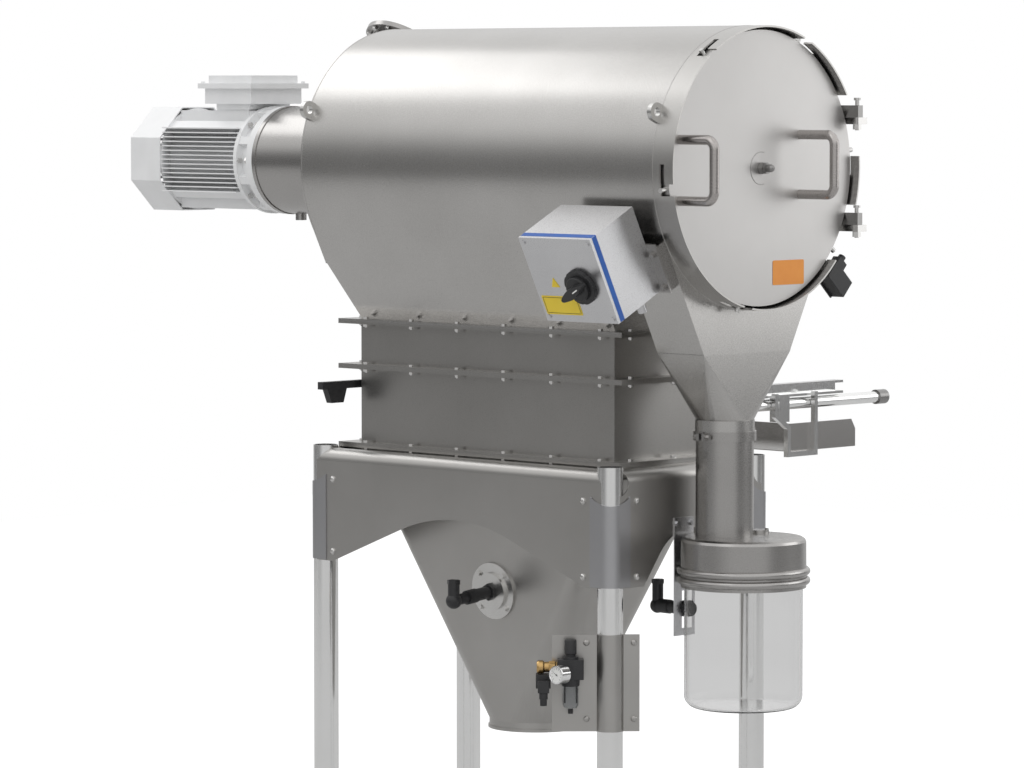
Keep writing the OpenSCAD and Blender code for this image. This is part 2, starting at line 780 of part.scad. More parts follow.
module motor_frame() {
  color("white") translate([0, 0, drum_z]) {
    difference() {
      union() {
        bar_y(motor_r, motor_start, motor_end);
        for (i = [-7:7]) block([-motor_r - 25, motor_start, i * 11.5 - 1.5],
          [motor_r + 25, motor_end, i * 11.5 + 1.5]);
        for (i = [-5:5]) block([i * 11.5 - 1.5, motor_start, -motor_r - 25],
          [i * 11.5 + 1.5, motor_end, motor_r + (abs(i) > 4 ? 25 : -5)]);
        for (a = [45:90:315]) rotate([0, a, 0]) block([90, motor_start, -14], [125, motor_end, 14]);
        block([-62, motor_start + 20, 90], [62, motor_start + 140, 128]);
      }
      bar_y(67, motor_start - 1, motor_end - 10);
      bar_y(shaft_r - 7 + 2, motor_end - 11, motor_end + 1);
    }
  }
}

module motor_rotor() {
  color("gray") translate([0, 0, drum_z]) tube_y(65, shaft_r - 7, motor_start + 30, motor_end - 30);
}

module motor_fan() {
  color("black") translate([0, 0, drum_z]) difference() {
    union() {
      bar_y(34, motor_end + 18, motor_end + 54);
      bar_y(112, motor_end + 18, motor_end + 22);
      for (a = [0:45:315]) rotate([0, a, 0]) block([30, motor_end + 20, -2], [108, motor_end + 50, 2]);
    }
    bar_y(shaft_r - 7, motor_end + 10, motor_end + 60);
  }
}

module cowl_plan(r) {
  rotate([0, 0, 22.5]) circle(r = r / cos(22.5), $fn = 8);
}

module fan_cowl() {
  color("white") translate([0, 0, drum_z]) {
    difference() {
      xz(motor_end, cowl_end) cowl_plan(133);
      xz(motor_end - 1, cowl_end - 3) cowl_plan(130);
      for (i = [-6:6]) xz(cowl_end - 4, cowl_end + 1) difference() {
        intersection() {
          circle(r = 95);
          translate([-100, i * 14 - 4]) square([200, 8]);
        }
        translate([-3, -100]) square([6, 200]);
      }
    }
    difference() {
      bar_y(130, motor_end, motor_end + 4);
      bar_y(70, motor_end - 1, motor_end + 5);
    }
  }
}

module terminal_box() {
  z0 = drum_z + 128;
  y = motor_start + 71;
  color("white") {
    block([-70, y - 62, z0], [70, y + 62, z0 + 14]);
    block([-87, y - 87, z0 + 14], [87, y + 87, z0 + 53]);
    block([-100, y - 100, z0 + 53], [100, y + 100, z0 + 66]);
    block([-80, y - 80, z0 + 66], [80, y + 80, z0 + 86]);
    for (sx = [-1, 1]) for (sy = [-1, 1]) translate([sx * 90, y + sy * 90, z0 + 66]) cylinder(h = 5, r = 5);
  }
}

module motor_bolts() {
  color("silver") translate([0, 0, drum_z]) {
    for (a = [0:45:315]) rotate([0, a, 0]) {
      translate([inlet_r - 9, inlet_end + 22, 0]) rotate([-90, 0, 0]) cylinder(h = 9, r = 9, $fn = 6);
      translate([inlet_r - 9, motor_start - 12, 0]) rotate([90, 0, 0]) cylinder(h = 7, r = 7, $fn = 6);
    }
  }
}

// Fixed hinge parts, welded to the outside of the drum behind the collar.
module hinge_brackets() {
  color("silver") translate([0, 0, drum_z]) for (s = [1, -1]) {
    zb = (s > 0 ? arm_up : arm_low) - arm_h - gap;
    difference() {
      union() {
        block([hinge_x - 10, hinge_y - 12, zb - 16], [hinge_x + 22, hinge_y + 3, zb]);
        block([hinge_x + 8, hinge_y - 12, zb - 16], [hinge_x + 22, drum_front + 40, zb]);
        block([250, drum_front + 5, zb - 16], [hinge_x + 22, drum_front + 40, zb]);
      }
      bar_y(drum_r, drum_front - 80, drum_front + 60);
      translate([hinge_x, hinge_y, zb - 20]) cylinder(h = 30, r = hinge_pin_r);
    }
  }
}

module hinge_pins() {
  color("silver") translate([hinge_x, hinge_y, drum_z]) for (s = [1, -1]) {
    z0 = (s > 0 ? arm_up : arm_low) - arm_h - gap;
    translate([0, 0, z0 - 30]) cylinder(h = 70, r = hinge_pin_r);
    translate([0, 0, z0 - 28]) cylinder(h = 12, r = 10, $fn = 6);
    translate([0, 0, z0 + 40]) cylinder(h = 6, r = 8);
  }
}

// Yoke behind the door disc, its arms leave through the collar gaps to the hinge.
module door_yoke() {
  y0 = door_face + door_depth + 3;
  y1 = y0 + 10;
  color("silver") translate([0, 0, drum_z]) {
    difference() {
      union() {
        bar_y(60, y0, y1);
        for (z = [arm_up, arm_low]) {
          block([0, y0, z - arm_h], [hinge_x + knuckle, y1, z + arm_h]);
          block([-20, y0, z > 0 ? 0 : z - arm_h], [20, y1, z > 0 ? z + arm_h : 0]);
          block([hinge_x - knuckle, hinge_y - 10, z - arm_h], [hinge_x + knuckle, y1, z + arm_h]);
        }
      }
      for (z = [arm_up, arm_low]) translate([hinge_x, hinge_y, z - 30])
        cylinder(h = 60, r = hinge_pin_r + fit);
    }
    bar_y(12, door_face - 20, y0);
    bar_y(30, door_face + door_plate + gap, y0);
    translate([0, door_face - 14 - gap, 0]) rotate([-90, 0, 0]) cylinder(h = 14, r = 15, $fn = 6);
    bar_y(9, door_face - 29, door_face - 20);
    translate([0, door_face - 29, 0]) sphere(r = 9);
  }
}

module door_disc() {
  color("silver") translate([0, 0, drum_z]) difference() {
    union() {
      bar_y(door_r, door_face, door_face + door_plate);
      tube_y(door_r, door_r - 9, door_face + door_plate, door_face + door_depth);
    }
    bar_y(12 + fit, door_face - 1, door_face + 10);
    for (a = pin_angles) rotate([0, -a - turn, 0]) translate([0, pin_y, 0])
      bar_x(pin_d / 2, door_r - 20, door_r + 10);
  }
}

module door_pins() {
  color("silver") translate([0, 0, drum_z]) for (a = pin_angles) rotate([0, -a - turn, 0])
    translate([0, pin_y, 0]) {
      bar_x(pin_d / 2, door_r - 14, drum_r + 8);
      bar_x(pin_d / 2 + 0.7, door_r - 13, door_r - 9 - 0.5);
    }
}

module door_seal() {
  color("darkslategray") translate([0, 0, drum_z])
    tube_y(door_r, door_r - 8, door_face + door_depth, door_face + door_depth + 2.5);
}

// Bow handle with rounded corners, its grip upright.
module bow(r, h, out) {
  c = 22;
  for (s = [-1, 1]) mirror([0, 0, s < 0 ? 1 : 0]) {
    translate([0, -out + r + c, h / 2 - r]) rotate([-90, 0, 0]) cylinder(h = out - r - c, r = r);
    translate([0, -out + r + c, h / 2 - r - c]) rotate([90, 0, -90]) rotate_extrude(angle = 90)
      translate([c, 0]) circle(r = r);
    translate([0, -out + r, 0]) cylinder(h = h / 2 - r - c, r = r);
  }
}

module door_handles() {
  color("silver") translate([0, door_face, drum_z]) {
    translate([-287 + 8, 0, -1]) bow(grip_d / 2, 160, grip_out);
    translate([136, 0, 7]) bow(grip_d / 2, 160, grip_out);
  }
}

module lifting_lugs() {
  color("silver") translate([0, 0, drum_z]) for (a = lug_angles) rotate([0, -a, 0])
    for (y = [drum_front + 4, drum_rear - 12]) difference() {
      union() {
        translate([drum_r + 12, y - 6, 0]) rotate([-90, 0, 0]) cylinder(h = 12, r = 21.5);
        block([drum_r - 6, y - 6, -21.5], [drum_r + 12, y + 6, 21.5]);
      }
      bar_y(drum_r, y - 10, y + 10);
      translate([drum_r + 12, y - 10, 0]) rotate([-90, 0, 0]) cylinder(h = 20, r = 10);
    }
}

// Frame on the flat left side: plus X leaves the wall, plus Z points down the slope.
module iso_frame() {
  translate([0, 0, drum_z]) rotate([0, 180 - side_a, 0]) children();
}

module isolator_box() {
  v0 = -87;
  v1 = 128;
  iso_frame() {
    color("silver") block([iso_back, -642, v0], [iso_front - 22, -421, v1]);
    color("blue") block([iso_front - 22, -641, v0 + 1], [iso_front - 18, -422, v1 - 1]);
    color("silver") block([iso_front - 18, -642, v0], [iso_front, -421, v1]);
    for (y = [-630, -433]) for (v = [v0 + 12, v1 - 12]) color("gray") translate([iso_front, y, v])
      rotate([0, 90, 0]) cylinder(h = 3, r = 5);
    for (y = [-620, -585, -550]) for (x = [iso_back + 55]) color("black") translate([x, y, v1]) {
      cylinder(h = 6, r = 14, $fn = 6);
      translate([0, 0, 6]) cylinder(h = 20, r = 11);
    }
  }
}

module isolator_knob() {
  iso_frame() translate([iso_front, -569, 33]) {
    color("black") rotate([0, 90, 0]) translate([0, 0, gap]) cylinder(h = 12, r = 43);
    color("black") rotate([0, 90, 0]) translate([0, 0, 12 + gap]) cylinder(h = 10, r = 30);
    color("black") translate([18, -9, -38]) cube([26, 18, 76]);
  }
}

module isolator_bracket() {
  color("silver") iso_frame() {
    block([iso_back - 4, -670, 10], [iso_back, -430, 134]);
    block([flat_r, -545, 22], [iso_back - 4, -541, 134]);
    block([flat_r, -662, 22], [iso_back - 4, -658, 134]);
    for (v = [37, 120]) translate([iso_back, -655, v]) rotate([0, 90, 0]) {
      cylinder(h = 2, r = 9);
      translate([0, 0, 2]) cylinder(h = 6, r = 7.5, $fn = 6);
    }
  }
}

module interlock_switch() {
  translate([0, 0, drum_z]) rotate([0, 43, 0]) {
    color("black") block([drum_r + 22, drum_front - 40, -22], [drum_r + 98, drum_front - 4, 23]);
    color("black") block([drum_r + 30, drum_front - 34, 23], [drum_r + 60, drum_front - 11, 45]);
    color("black") translate([drum_r + 45, drum_front - 22, 45]) cylinder(h = 12, r = 9);
    color("silver") block([drum_r + 1, drum_front - 4, -26], [drum_r + 98, drum_front, 26]);
  }
}

module at_rails() {
  for (s = [0, 1]) mirror([0, s, 0]) translate([0, -rail_y, 0]) children();
}

module magnet_rails() {
  color("silver") at_rails() {
    difference() {
      block([box_x, -rail_half, rail_z], [708, rail_half, rail_z + 32]);
      block([box_x + 20, -rail_half - 1, rail_z + 6], [709, rail_half - 4, rail_z + 26]);
    }
    difference() {
      block([467, -rail_half, z_f3 + 59], [506, rail_half, rail_z]);
      translate([0, 0, pull_z]) bar_x(pull_r + fit, 460, 520);
    }
    translate([0, -rail_half, 0]) xz(-12, 0) polygon([[439, rail_z + 10], [439, z_f3 + 73],
      [485, z_f3 + 42], [485, z_f3 - 26], [598, z_f3 - 26], [598, rail_z + 10], [586, rail_z + 10],
      [586, z_f3 - 14], [497, z_f3 - 14], [497, z_f3 + 48], [451, z_f3 + 79], [451, rail_z + 10]]);
  }
}

module magnet_drawer() {
  color("silver") {
    block([box_x, -rail_y - rail_half, drawer_z0], [box_x + 6, rail_y + rail_half, rail_z - 2]);
    at_rails() translate([0, 0, pull_z]) bar_x(pull_r, box_x + 6, pull_end - 30);
    for (y = [-300:100:300]) translate([0, y, magnet_z]) bar_x(12.5, -box_x + 12, box_x);
  }
}

module magnet_caps() {
  color("black") at_rails() translate([0, 0, pull_z]) {
    bar_x(18, pull_end - 30, pull_end + 4);
    translate([pull_end + 4, 0, 0]) rotate([0, 90, 0]) cylinder(h = 4, r = 14);
  }
}

module magnet_tray() {
  w = rail_y + rail_half;
  color("silver") {
    block([500, -w, z_f3 - 14], [755, w, z_f3 - 12]);
    for (s = [0, 1]) mirror([0, s, 0]) xz(-w, -w + 2) polygon([[500, z_f3 - 12], [755, z_f3 - 12],
      [755, z_f3 + 30], [740, z_f3 + 54], [500, z_f3 + 54]]);
    block([753, -w + 2, z_f3 - 12], [755, w - 2, z_f3 + 30]);
  }
}

module rear_lever() {
  color("black") {
    block([-296, box_y + 12, z_f3 + 138], [-60, box_y + 30, z_f3 + 156]);
    block([-100, box_y, z_f3 + 130], [-60, box_y + 12, z_f3 + 164]);
    xz(box_y + 12, box_y + 30) polygon([[-280, z_f3 + 138], [-215, z_f3 + 138], [-226, z_f3 + 104],
      [-266, z_f3 + 104]]);
  }
}

// Frame on the front left leg: plus X to the right as seen from outside, minus Y outwards.
module air_frame() {
  translate([-leg_x, -leg_y, leg_top]) rotate([0, 0, -45]) children();
}

module air_bracket() {
  r = leg_r + 3;
  color("gray") air_frame() {
    difference() {
      union() {
        translate([0, 0, -611]) cylinder(h = 225, r = r);
        block([-134, -12, -611], [68, -9, -386]);
      }
      translate([0, 0, -612]) cylinder(h = 227, r = leg_r);
      translate([-100, -9, -612]) cube([200, 100, 227]);
      for (s = [-1, 1]) for (z = [-405, -582]) translate([s * 54.7, -20, z]) rotate([-90, 0, 0])
        cylinder(h = 20, r = 4.5);
    }
  }
  color("silver") air_frame() for (s = [-1, 1]) for (z = [-405, -582]) translate([s * 54.7, -12, z])
    rotate([90, 0, 0]) button(4, 3);
}

module air_regulator() {
  color("black") air_frame() translate([-92, -36, 0]) {
    translate([0, 0, -428]) cylinder(h = 33, r = 14);
    translate([0, 0, -436]) cylinder(h = 8, r = 18);
    block([-30, -20, -488], [30, 20, -436]);
    block([-22, 20, -480], [22, 24, -440]);
    translate([0, 0, -500]) cylinder(h = 12, r = 21);
    translate([0, 0, -554]) cylinder(h = 54, r = 19);
    translate([0, 0, -566]) cylinder(h = 12, r = 6);
  }
}

module air_gauge() {
  color("silver") air_frame() {
    translate([-104, -56, gauge_z]) rotate([90, 0, 0]) cylinder(h = 10, r = 7, $fn = 6);
    translate([-108, -72, gauge_z]) rotate([0, 0, -45]) rotate([90, 0, 0]) cylinder(h = 24, r = 21.5);
  }
}

module air_valve() {
  air_frame() translate([-122, -36, 0]) {
    color("goldenrod") translate([-16, 0, -458]) rotate([0, 90, 0]) cylinder(h = 16, r = 12, $fn = 6);
    color("goldenrod") block([-50, -16, -478], [-16, 16, -442]);
    color("black") block([-52, -18, -528], [-14, 18, -478]);
    color("black") block([-46, -40, -516], [-20, -18, -488]);
    color("black") translate([-33, -29, -544]) cylinder(h = 28, r = 9);
  }
}

legs();
foot_plates();
side_panels();
end_panels();
corner_covers();
cover_bolts();
hopper();
hopper_port();
hopper_sensor();
lower_box();
upper_box();
flange_bolts();
drum_housing();
rear_plate();
locking_collar();
partition_ring();
reject_funnel();
reject_clamp();
reject_tube();
jar_lid();
jar_lid_window();
jar();
jar_sensor();
jar_sensor_plate();
sieve_basket();
rotor_shaft();
beaters();
feed_screw();
inlet_housing();
inlet_nozzle();
nozzle_bolts();
shaft_bearing();
motor_flange();
motor_frame();
motor_rotor();
motor_fan();
fan_cowl();
terminal_box();
motor_bolts();
hinge_brackets();
hinge_pins();
door_yoke();
door_disc();
door_seal();
door_pins();
door_handles();
lifting_lugs();
isolator_box();
isolator_knob();
isolator_bracket();
interlock_switch();
magnet_rails();
magnet_drawer();
magnet_caps();
magnet_tray();
rear_lever();
air_bracket();
air_regulator();
air_gauge();
air_valve();
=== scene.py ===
import bpy
import bmesh
import json
import math
from mathutils import Matrix, Vector


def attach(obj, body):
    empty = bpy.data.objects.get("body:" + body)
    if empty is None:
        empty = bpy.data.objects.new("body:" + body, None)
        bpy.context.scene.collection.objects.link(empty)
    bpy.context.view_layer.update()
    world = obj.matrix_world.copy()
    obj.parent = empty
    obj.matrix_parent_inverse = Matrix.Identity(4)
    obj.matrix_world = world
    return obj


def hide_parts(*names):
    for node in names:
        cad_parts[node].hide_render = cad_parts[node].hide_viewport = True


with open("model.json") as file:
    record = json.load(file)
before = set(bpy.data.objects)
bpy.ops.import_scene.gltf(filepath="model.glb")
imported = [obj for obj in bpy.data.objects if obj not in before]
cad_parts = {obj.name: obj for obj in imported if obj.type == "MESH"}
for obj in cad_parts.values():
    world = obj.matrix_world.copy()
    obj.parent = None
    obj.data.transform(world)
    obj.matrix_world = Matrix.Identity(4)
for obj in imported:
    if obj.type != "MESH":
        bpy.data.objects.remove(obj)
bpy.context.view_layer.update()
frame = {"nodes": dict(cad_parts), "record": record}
nodes = frame["nodes"]
scene = bpy.context.scene

# Places of the machine that the pieces below refer to, in metres.
LEG_TOP = 1.18
LEG_X = 0.248
LEG_Y = 0.475
DRUM_Z = 1.867
DOOR_FACE_Y = -0.716

# Camera at the photograph's angle, its focal length given in pixels of the photograph's width.
SENSOR_WIDTH = 36.0
FOCAL_PIXELS = 4567.0
PIXELS_WIDE = 1024.0
AZ, PITCH = math.radians(-45.867), math.radians(3.776)
CAM_X, CAM_Y, CAM_ABOVE_LEGS = -7.9241, -7.6072, 0.883
cam_data = bpy.data.cameras.new("camera")
cam_data.sensor_width = SENSOR_WIDTH
cam_data.lens = FOCAL_PIXELS / PIXELS_WIDE * SENSOR_WIDTH
cam_data.clip_end = 200.0
cam = bpy.data.objects.new("camera", cam_data)
scene.collection.objects.link(cam)
look = Vector((-math.sin(AZ) * math.cos(PITCH), math.cos(AZ) * math.cos(PITCH),
               -math.sin(PITCH)))
cam.location = (CAM_X, CAM_Y, CAM_ABOVE_LEGS + LEG_TOP)
cam.rotation_euler = look.to_track_quat("-Z", "Y").to_euler()
scene.camera = cam
scene.view_settings.view_transform = "Standard"


# Materials. Each takes its detail from noise in object coordinates.
PLAIN = (1, 1, 1)


def shader(name):
    m = bpy.data.materials.new(name)
    m.use_nodes = True
    return m, m.node_tree.nodes, m.node_tree.links, m.node_tree.nodes["Principled BSDF"]


def coords(n, l, scale):
    tc = n.new("ShaderNodeTexCoord")
    mp = n.new("ShaderNodeMapping")
    mp.inputs["Scale"].default_value = scale
    l.new(tc.outputs["Object"], mp.inputs["Vector"])
    return mp.outputs["Vector"]


def noise(n, l, vec, scale, detail=3.0, rough=0.55):
    t = n.new("ShaderNodeTexNoise")
    t.inputs["Scale"].default_value = scale
    t.inputs["Detail"].default_value = detail
    t.inputs["Roughness"].default_value = rough
    l.new(vec, t.inputs["Vector"])
    return t.outputs["Fac"]


def spread(n, l, fac, lo, hi, a=0.3, b=0.7):
    r = n.new("ShaderNodeMapRange")
    r.inputs["From Min"].default_value = a
    r.inputs["From Max"].default_value = b
    r.inputs["To Min"].default_value = lo
    r.inputs["To Max"].default_value = hi
    l.new(fac, r.inputs["Value"])
    return r.outputs["Result"]


def tint(n, l, fac, c0, c1, a=0.3, b=0.7):
    r = n.new("ShaderNodeValToRGB")
    r.color_ramp.elements[0].position = a
    r.color_ramp.elements[1].position = b
    r.color_ramp.elements[0].color = (*c0, 1)
    r.color_ramp.elements[1].color = (*c1, 1)
    l.new(fac, r.inputs["Fac"])
    return r.outputs["Color"]


def bump(n, l, bsdf, height, strength, dist):
    b = n.new("ShaderNodeBump")
    b.inputs["Strength"].default_value = strength
    b.inputs["Distance"].default_value = dist
    l.new(height, b.inputs["Height"])
    l.new(b.outputs["Normal"], bsdf.inputs["Normal"])


def metal(name, c0, c1, rough, spread_r=0.06, grain=PLAIN, grain_scale=900.0, strength=0.025,
          metallic=1.0):
    m, n, l, p = shader(name)
    p.inputs["Metallic"].default_value = metallic
    big = noise(n, l, coords(n, l, PLAIN), 3.2, 4.0)
    fine = noise(n, l, coords(n, l, grain), grain_scale, 2.0)
    l.new(tint(n, l, big, c0, c1), p.inputs["Base Color"])
    l.new(spread(n, l, fine, rough - spread_r, rough + spread_r), p.inputs["Roughness"])
    bump(n, l, p, fine, strength, 0.0006)
    return m


def shade_inside(mat, radius, dark):
    """Darkens what lies inside a radius about the drum's axis: the collar's unlit inner face."""
    blend = 0.0006
    n, l = mat.node_tree.nodes, mat.node_tree.links
    p = n["Principled BSDF"]
    tc = n.new("ShaderNodeTexCoord")
    mp = n.new("ShaderNodeMapping")
    mp.inputs["Location"].default_value = (0, 0, -DRUM_Z)
    mp.inputs["Scale"].default_value = (1, 0, 1)
    l.new(tc.outputs["Object"], mp.inputs["Vector"])
    ln = n.new("ShaderNodeVectorMath")
    ln.operation = "LENGTH"
    l.new(mp.outputs["Vector"], ln.inputs[0])
    step = spread(n, l, ln.outputs["Value"], dark, 1.0, radius, radius + blend)
    was = p.inputs["Base Color"].links[0].from_socket
    mul = n.new("ShaderNodeVectorMath")
    mul.operation = "SCALE"
    l.new(was, mul.inputs[0])
    l.new(step, mul.inputs["Scale"])
    l.new(mul.outputs["Vector"], p.inputs["Base Color"])


def plastic(name, c0, c1, rough, grain_scale=1400.0, strength=0.12):
    m, n, l, p = shader(name)
    big = noise(n, l, coords(n, l, PLAIN), 14.0, 3.0)
    fine = noise(n, l, coords(n, l, PLAIN), grain_scale, 2.0)
    l.new(tint(n, l, big, c0, c1), p.inputs["Base Color"])
    l.new(spread(n, l, big, rough - 0.05, rough + 0.07), p.inputs["Roughness"])
    bump(n, l, p, fine, strength, 0.0004)
    return m


M = {}
M["steel_drum"] = metal("satin_steel", (0.48, 0.47, 0.457), (0.53, 0.52, 0.507), 0.27, 0.04)
M["steel_side"] = metal("side_steel", (0.39, 0.38, 0.37), (0.44, 0.43, 0.42), 0.27, 0.04)
M["steel_frame"] = metal("matt_steel", (0.42, 0.41, 0.395), (0.47, 0.46, 0.445), 0.34, 0.05,
                         strength=0.03)
# Painted shade: a darker copy of the steel for the lower and upper boxes, standing in for the shade
# under the drum.
M["steel_low"] = metal("lower_steel_painted_shade", (0.405, 0.395, 0.38), (0.455, 0.445, 0.43), 0.30, 0.04,
                       strength=0.03)
M["steel_door"] = metal("door_steel", (0.54, 0.53, 0.52), (0.58, 0.57, 0.56), 0.40, 0.05,
                        grain=(1, 1, 24), grain_scale=120.0, strength=0.05)
M["steel_bright"] = metal("bright_tube", (0.84, 0.84, 0.835), (0.90, 0.90, 0.895), 0.15, 0.04,
                          grain=(30, 30, 1), grain_scale=60.0, strength=0.04)
M["steel_cover"] = metal("cover_sheet", (0.42, 0.42, 0.432), (0.46, 0.46, 0.472), 0.36, 0.05)
M["steel_bolt"] = metal("turned_steel", (0.60, 0.595, 0.58), (0.70, 0.69, 0.68), 0.26, 0.06,
                        grain_scale=1800.0)
M["steel_stud"] = metal("dark_turned", (0.26, 0.255, 0.25), (0.34, 0.335, 0.33), 0.3, 0.07,
                        grain_scale=1500.0)
M["steel_edge"] = metal("cut_edge", (0.46, 0.45, 0.44), (0.54, 0.53, 0.52), 0.3, 0.08,
                        grain_scale=600.0)
M["motor_paint"] = plastic("motor_paint", (0.88, 0.885, 0.89), (0.93, 0.935, 0.94), 0.36,
                           500.0, 0.10)
M["black_plastic"] = plastic("black_plastic", (0.012, 0.012, 0.013), (0.028, 0.028, 0.030), 0.42)
M["dark_rubber"] = plastic("dark_rubber", (0.015, 0.015, 0.016), (0.03, 0.03, 0.03), 0.7,
                           900.0, 0.2)
M["gauge_metal"] = metal("polished_ring", (0.80, 0.80, 0.80), (0.90, 0.90, 0.90), 0.14, 0.03)
M["brass_valve"] = metal("machined_brass", (0.52, 0.33, 0.13), (0.66, 0.45, 0.20), 0.28, 0.07)
M["cast_rotor"] = metal("cast_iron", (0.10, 0.10, 0.10), (0.16, 0.16, 0.155), 0.6, 0.1,
                        metallic=0.7)
M["box_steel"] = metal("box_steel", (0.60, 0.60, 0.61), (0.66, 0.66, 0.67), 0.30, 0.05,
                       grain_scale=700.0, strength=0.05)
M["blue_rubber"] = plastic("blue_rubber", (0.02, 0.10, 0.42), (0.03, 0.14, 0.50), 0.5, 800.0, 0.1)
M["label_orange"] = plastic("orange_plate", (0.80, 0.28, 0.03), (0.86, 0.33, 0.05), 0.4,
                            700.0, 0.05)
M["label_yellow"] = plastic("yellow_plate", (0.85, 0.62, 0.03), (0.90, 0.68, 0.05), 0.4,
                            700.0, 0.05)
M["dial_white"] = plastic("dial_face", (0.82, 0.82, 0.80), (0.88, 0.88, 0.86), 0.4, 700.0, 0.02)
M["steel_collar"] = metal("collar_steel", (0.49, 0.48, 0.465), (0.54, 0.53, 0.515), 0.30, 0.04)
shade_inside(M["steel_collar"], 0.3225, 0.10)
M["steel_grip"] = metal("satin_grip", (0.44, 0.415, 0.40), (0.50, 0.475, 0.46), 0.26, 0.05,
                        grain_scale=700.0)


def clear(name, rough_range=0.04, colour=(1.0, 1.0, 1.0)):
    m, n, l, p = shader(name)
    p.inputs["Base Color"].default_value = (*colour, 1)
    p.inputs["Transmission Weight"].default_value = 1.0
    p.inputs["IOR"].default_value = 1.12
    big = noise(n, l, coords(n, l, PLAIN), 22.0, 2.0)
    l.new(spread(n, l, big, 0.02, 0.02 + rough_range), p.inputs["Roughness"])
    bump(n, l, p, big, 0.02, 0.0004)
    return m


M["clear_jar"] = clear("clear_jar")
M["bowl_clear"] = clear("clear_bowl", 0.1, (0.86, 0.87, 0.88))

# The record's slots, and the nodes whose steel differs in the photograph.
slots = {s["node"]: s["material_slot"] for s in frame["record"]["subparts"]}
FINISHES_AND_SHADE = {
    "steel_door": ("door_disc",),
    "steel_collar": ("locking_collar",),
    "steel_drum": ("drum_housing",),
    "steel_side": ("inlet_housing", "inlet_nozzle", "isolator_bracket", "reject_tube",
                   "reject_clamp", "jar_lid", "magnet_tray"),
    # The lower and upper boxes take the darker steel as painted shade under the drum.
    "steel_low": ("lower_box", "upper_box"),
    "steel_bolt": ("hinge_brackets", "lifting_lugs", "hopper_port"),
    "steel_stud": ("door_yoke", "magnet_caps"),
    "steel_grip": ("door_handles",),
    "box_steel": ("isolator_box", "jar_sensor_plate"),
}
special = {node: key for key, group in FINISHES_AND_SHADE.items() for node in group}


def dress(node, key):
    o = nodes[node]
    if not o.material_slots:
        o.data.materials.append(M[key])
    for s in o.material_slots:
        s.material = M[key]


for name in nodes:
    dress(name, special.get(name, slots[name]))

# Mesh helpers. Every piece lies in the row frame, in metres.
BEVEL_ABOVE = math.radians(35)
SHARP_ABOVE = math.radians(38)


def add_mesh(name, bm, mat, body, smooth=True, bevel=0.0):
    me = bpy.data.meshes.new(name)
    bmesh.ops.recalc_face_normals(bm, faces=bm.faces)
    bm.to_mesh(me)
    bm.free()
    o = bpy.data.objects.new(name, me)
    scene.collection.objects.link(o)
    me.materials.append(M[mat])
    if bevel:
        b = o.modifiers.new("edges", "BEVEL")
        b.width = bevel
        b.segments = 3
        b.limit_method = "ANGLE"
        b.angle_limit = BEVEL_ABOVE
    if smooth:
        for p in me.polygons:
            p.use_smooth = True
        me.set_sharp_from_angle(angle=SHARP_ABOVE)
    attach(o, body)
    return o


def turn(i, steps):
    """The angle of step i of a full circle."""
    return 2 * math.pi * i / steps


def band(bm, a, b):
    """Quads between two closed loops of as many corners."""
    for i in range(len(a)):
        j = (i + 1) % len(a)
        bm.faces.new((a[i], a[j], b[j], b[i]))


def lathe(bm, profile, mtx, steps=64):
    rings = []
    for r, z in profile:
        if r < 1e-6:
            rings.append([bm.verts.new(mtx @ Vector((0, 0, z)))])
        else:
            rings.append([bm.verts.new(mtx @ Vector((r * math.cos(turn(i, steps)),
                                                     r * math.sin(turn(i, steps)), z)))
                          for i in range(steps)])
    for a, b in zip(rings, rings[1:]):
        if len(a) > 1 and len(b) > 1:
            band(bm, a, b)
        elif len(a) > 1 or len(b) > 1:
            for i in range(steps):
                j = (i + 1) % steps
                bm.faces.new((a[0], b[i], b[j]) if len(a) == 1 else (a[i], a[j], b[0]))


def sweep(bm, points, r, closed=False, steps=10):
    rings = []
    n = len(points)
    for k, p in enumerate(points):
        a = points[k - 1] if (k or closed) else points[0]
        b = points[(k + 1) % n] if (k < n - 1 or closed) else points[-1]
        d = (b - a).normalized()
        side = d.orthogonal().normalized() if k == 0 else (last - d * last.dot(d)).normalized()
        last = side
        up = d.cross(side)
        rings.append([bm.verts.new(p + r * (math.cos(turn(i, steps)) * side +
                                            math.sin(turn(i, steps)) * up))
                      for i in range(steps)])
    for a, b in zip(rings, rings[1:]):
        band(bm, a, b)
    if closed:
        band(bm, rings[-1], rings[0])
    else:
        bm.faces.new(rings[0])
        bm.faces.new(rings[-1])


def slab(bm, outline, thick, mtx):
    lo = [bm.verts.new(mtx @ Vector((x, y, 0))) for x, y in outline]
    hi = [bm.verts.new(mtx @ Vector((x, y, thick))) for x, y in outline]
    bm.faces.new(lo)
    bm.faces.new(hi)
    band(bm, lo, hi)


def hoop(bm, outer, inner, thick, mtx):
    loops = [[bm.verts.new(mtx @ Vector((x, y, z))) for x, y in line]
             for line, z in ((outer, 0), (outer, thick), (inner, thick), (inner, 0))]
    for a, b in zip(loops, loops[1:] + loops[:1]):
        band(bm, a, b)


def rounded(w, h, r, steps=6):
    pts = []
    for cx, cy, a0 in ((w / 2 - r, h / 2 - r, 0), (r - w / 2, h / 2 - r, 90),
                       (r - w / 2, r - h / 2, 180), (w / 2 - r, r - h / 2, 270)):
        for k in range(steps + 1):
            a = math.radians(a0 + 90 * k / steps)
            pts.append((cx + r * math.cos(a), cy + r * math.sin(a)))
    return pts


def frame_at(origin, x, y):
    x, y = Vector(x).normalized(), Vector(y).normalized()
    m = Matrix((x, y, x.cross(y))).transposed().to_4x4()
    m.translation = Vector(origin)
    return m


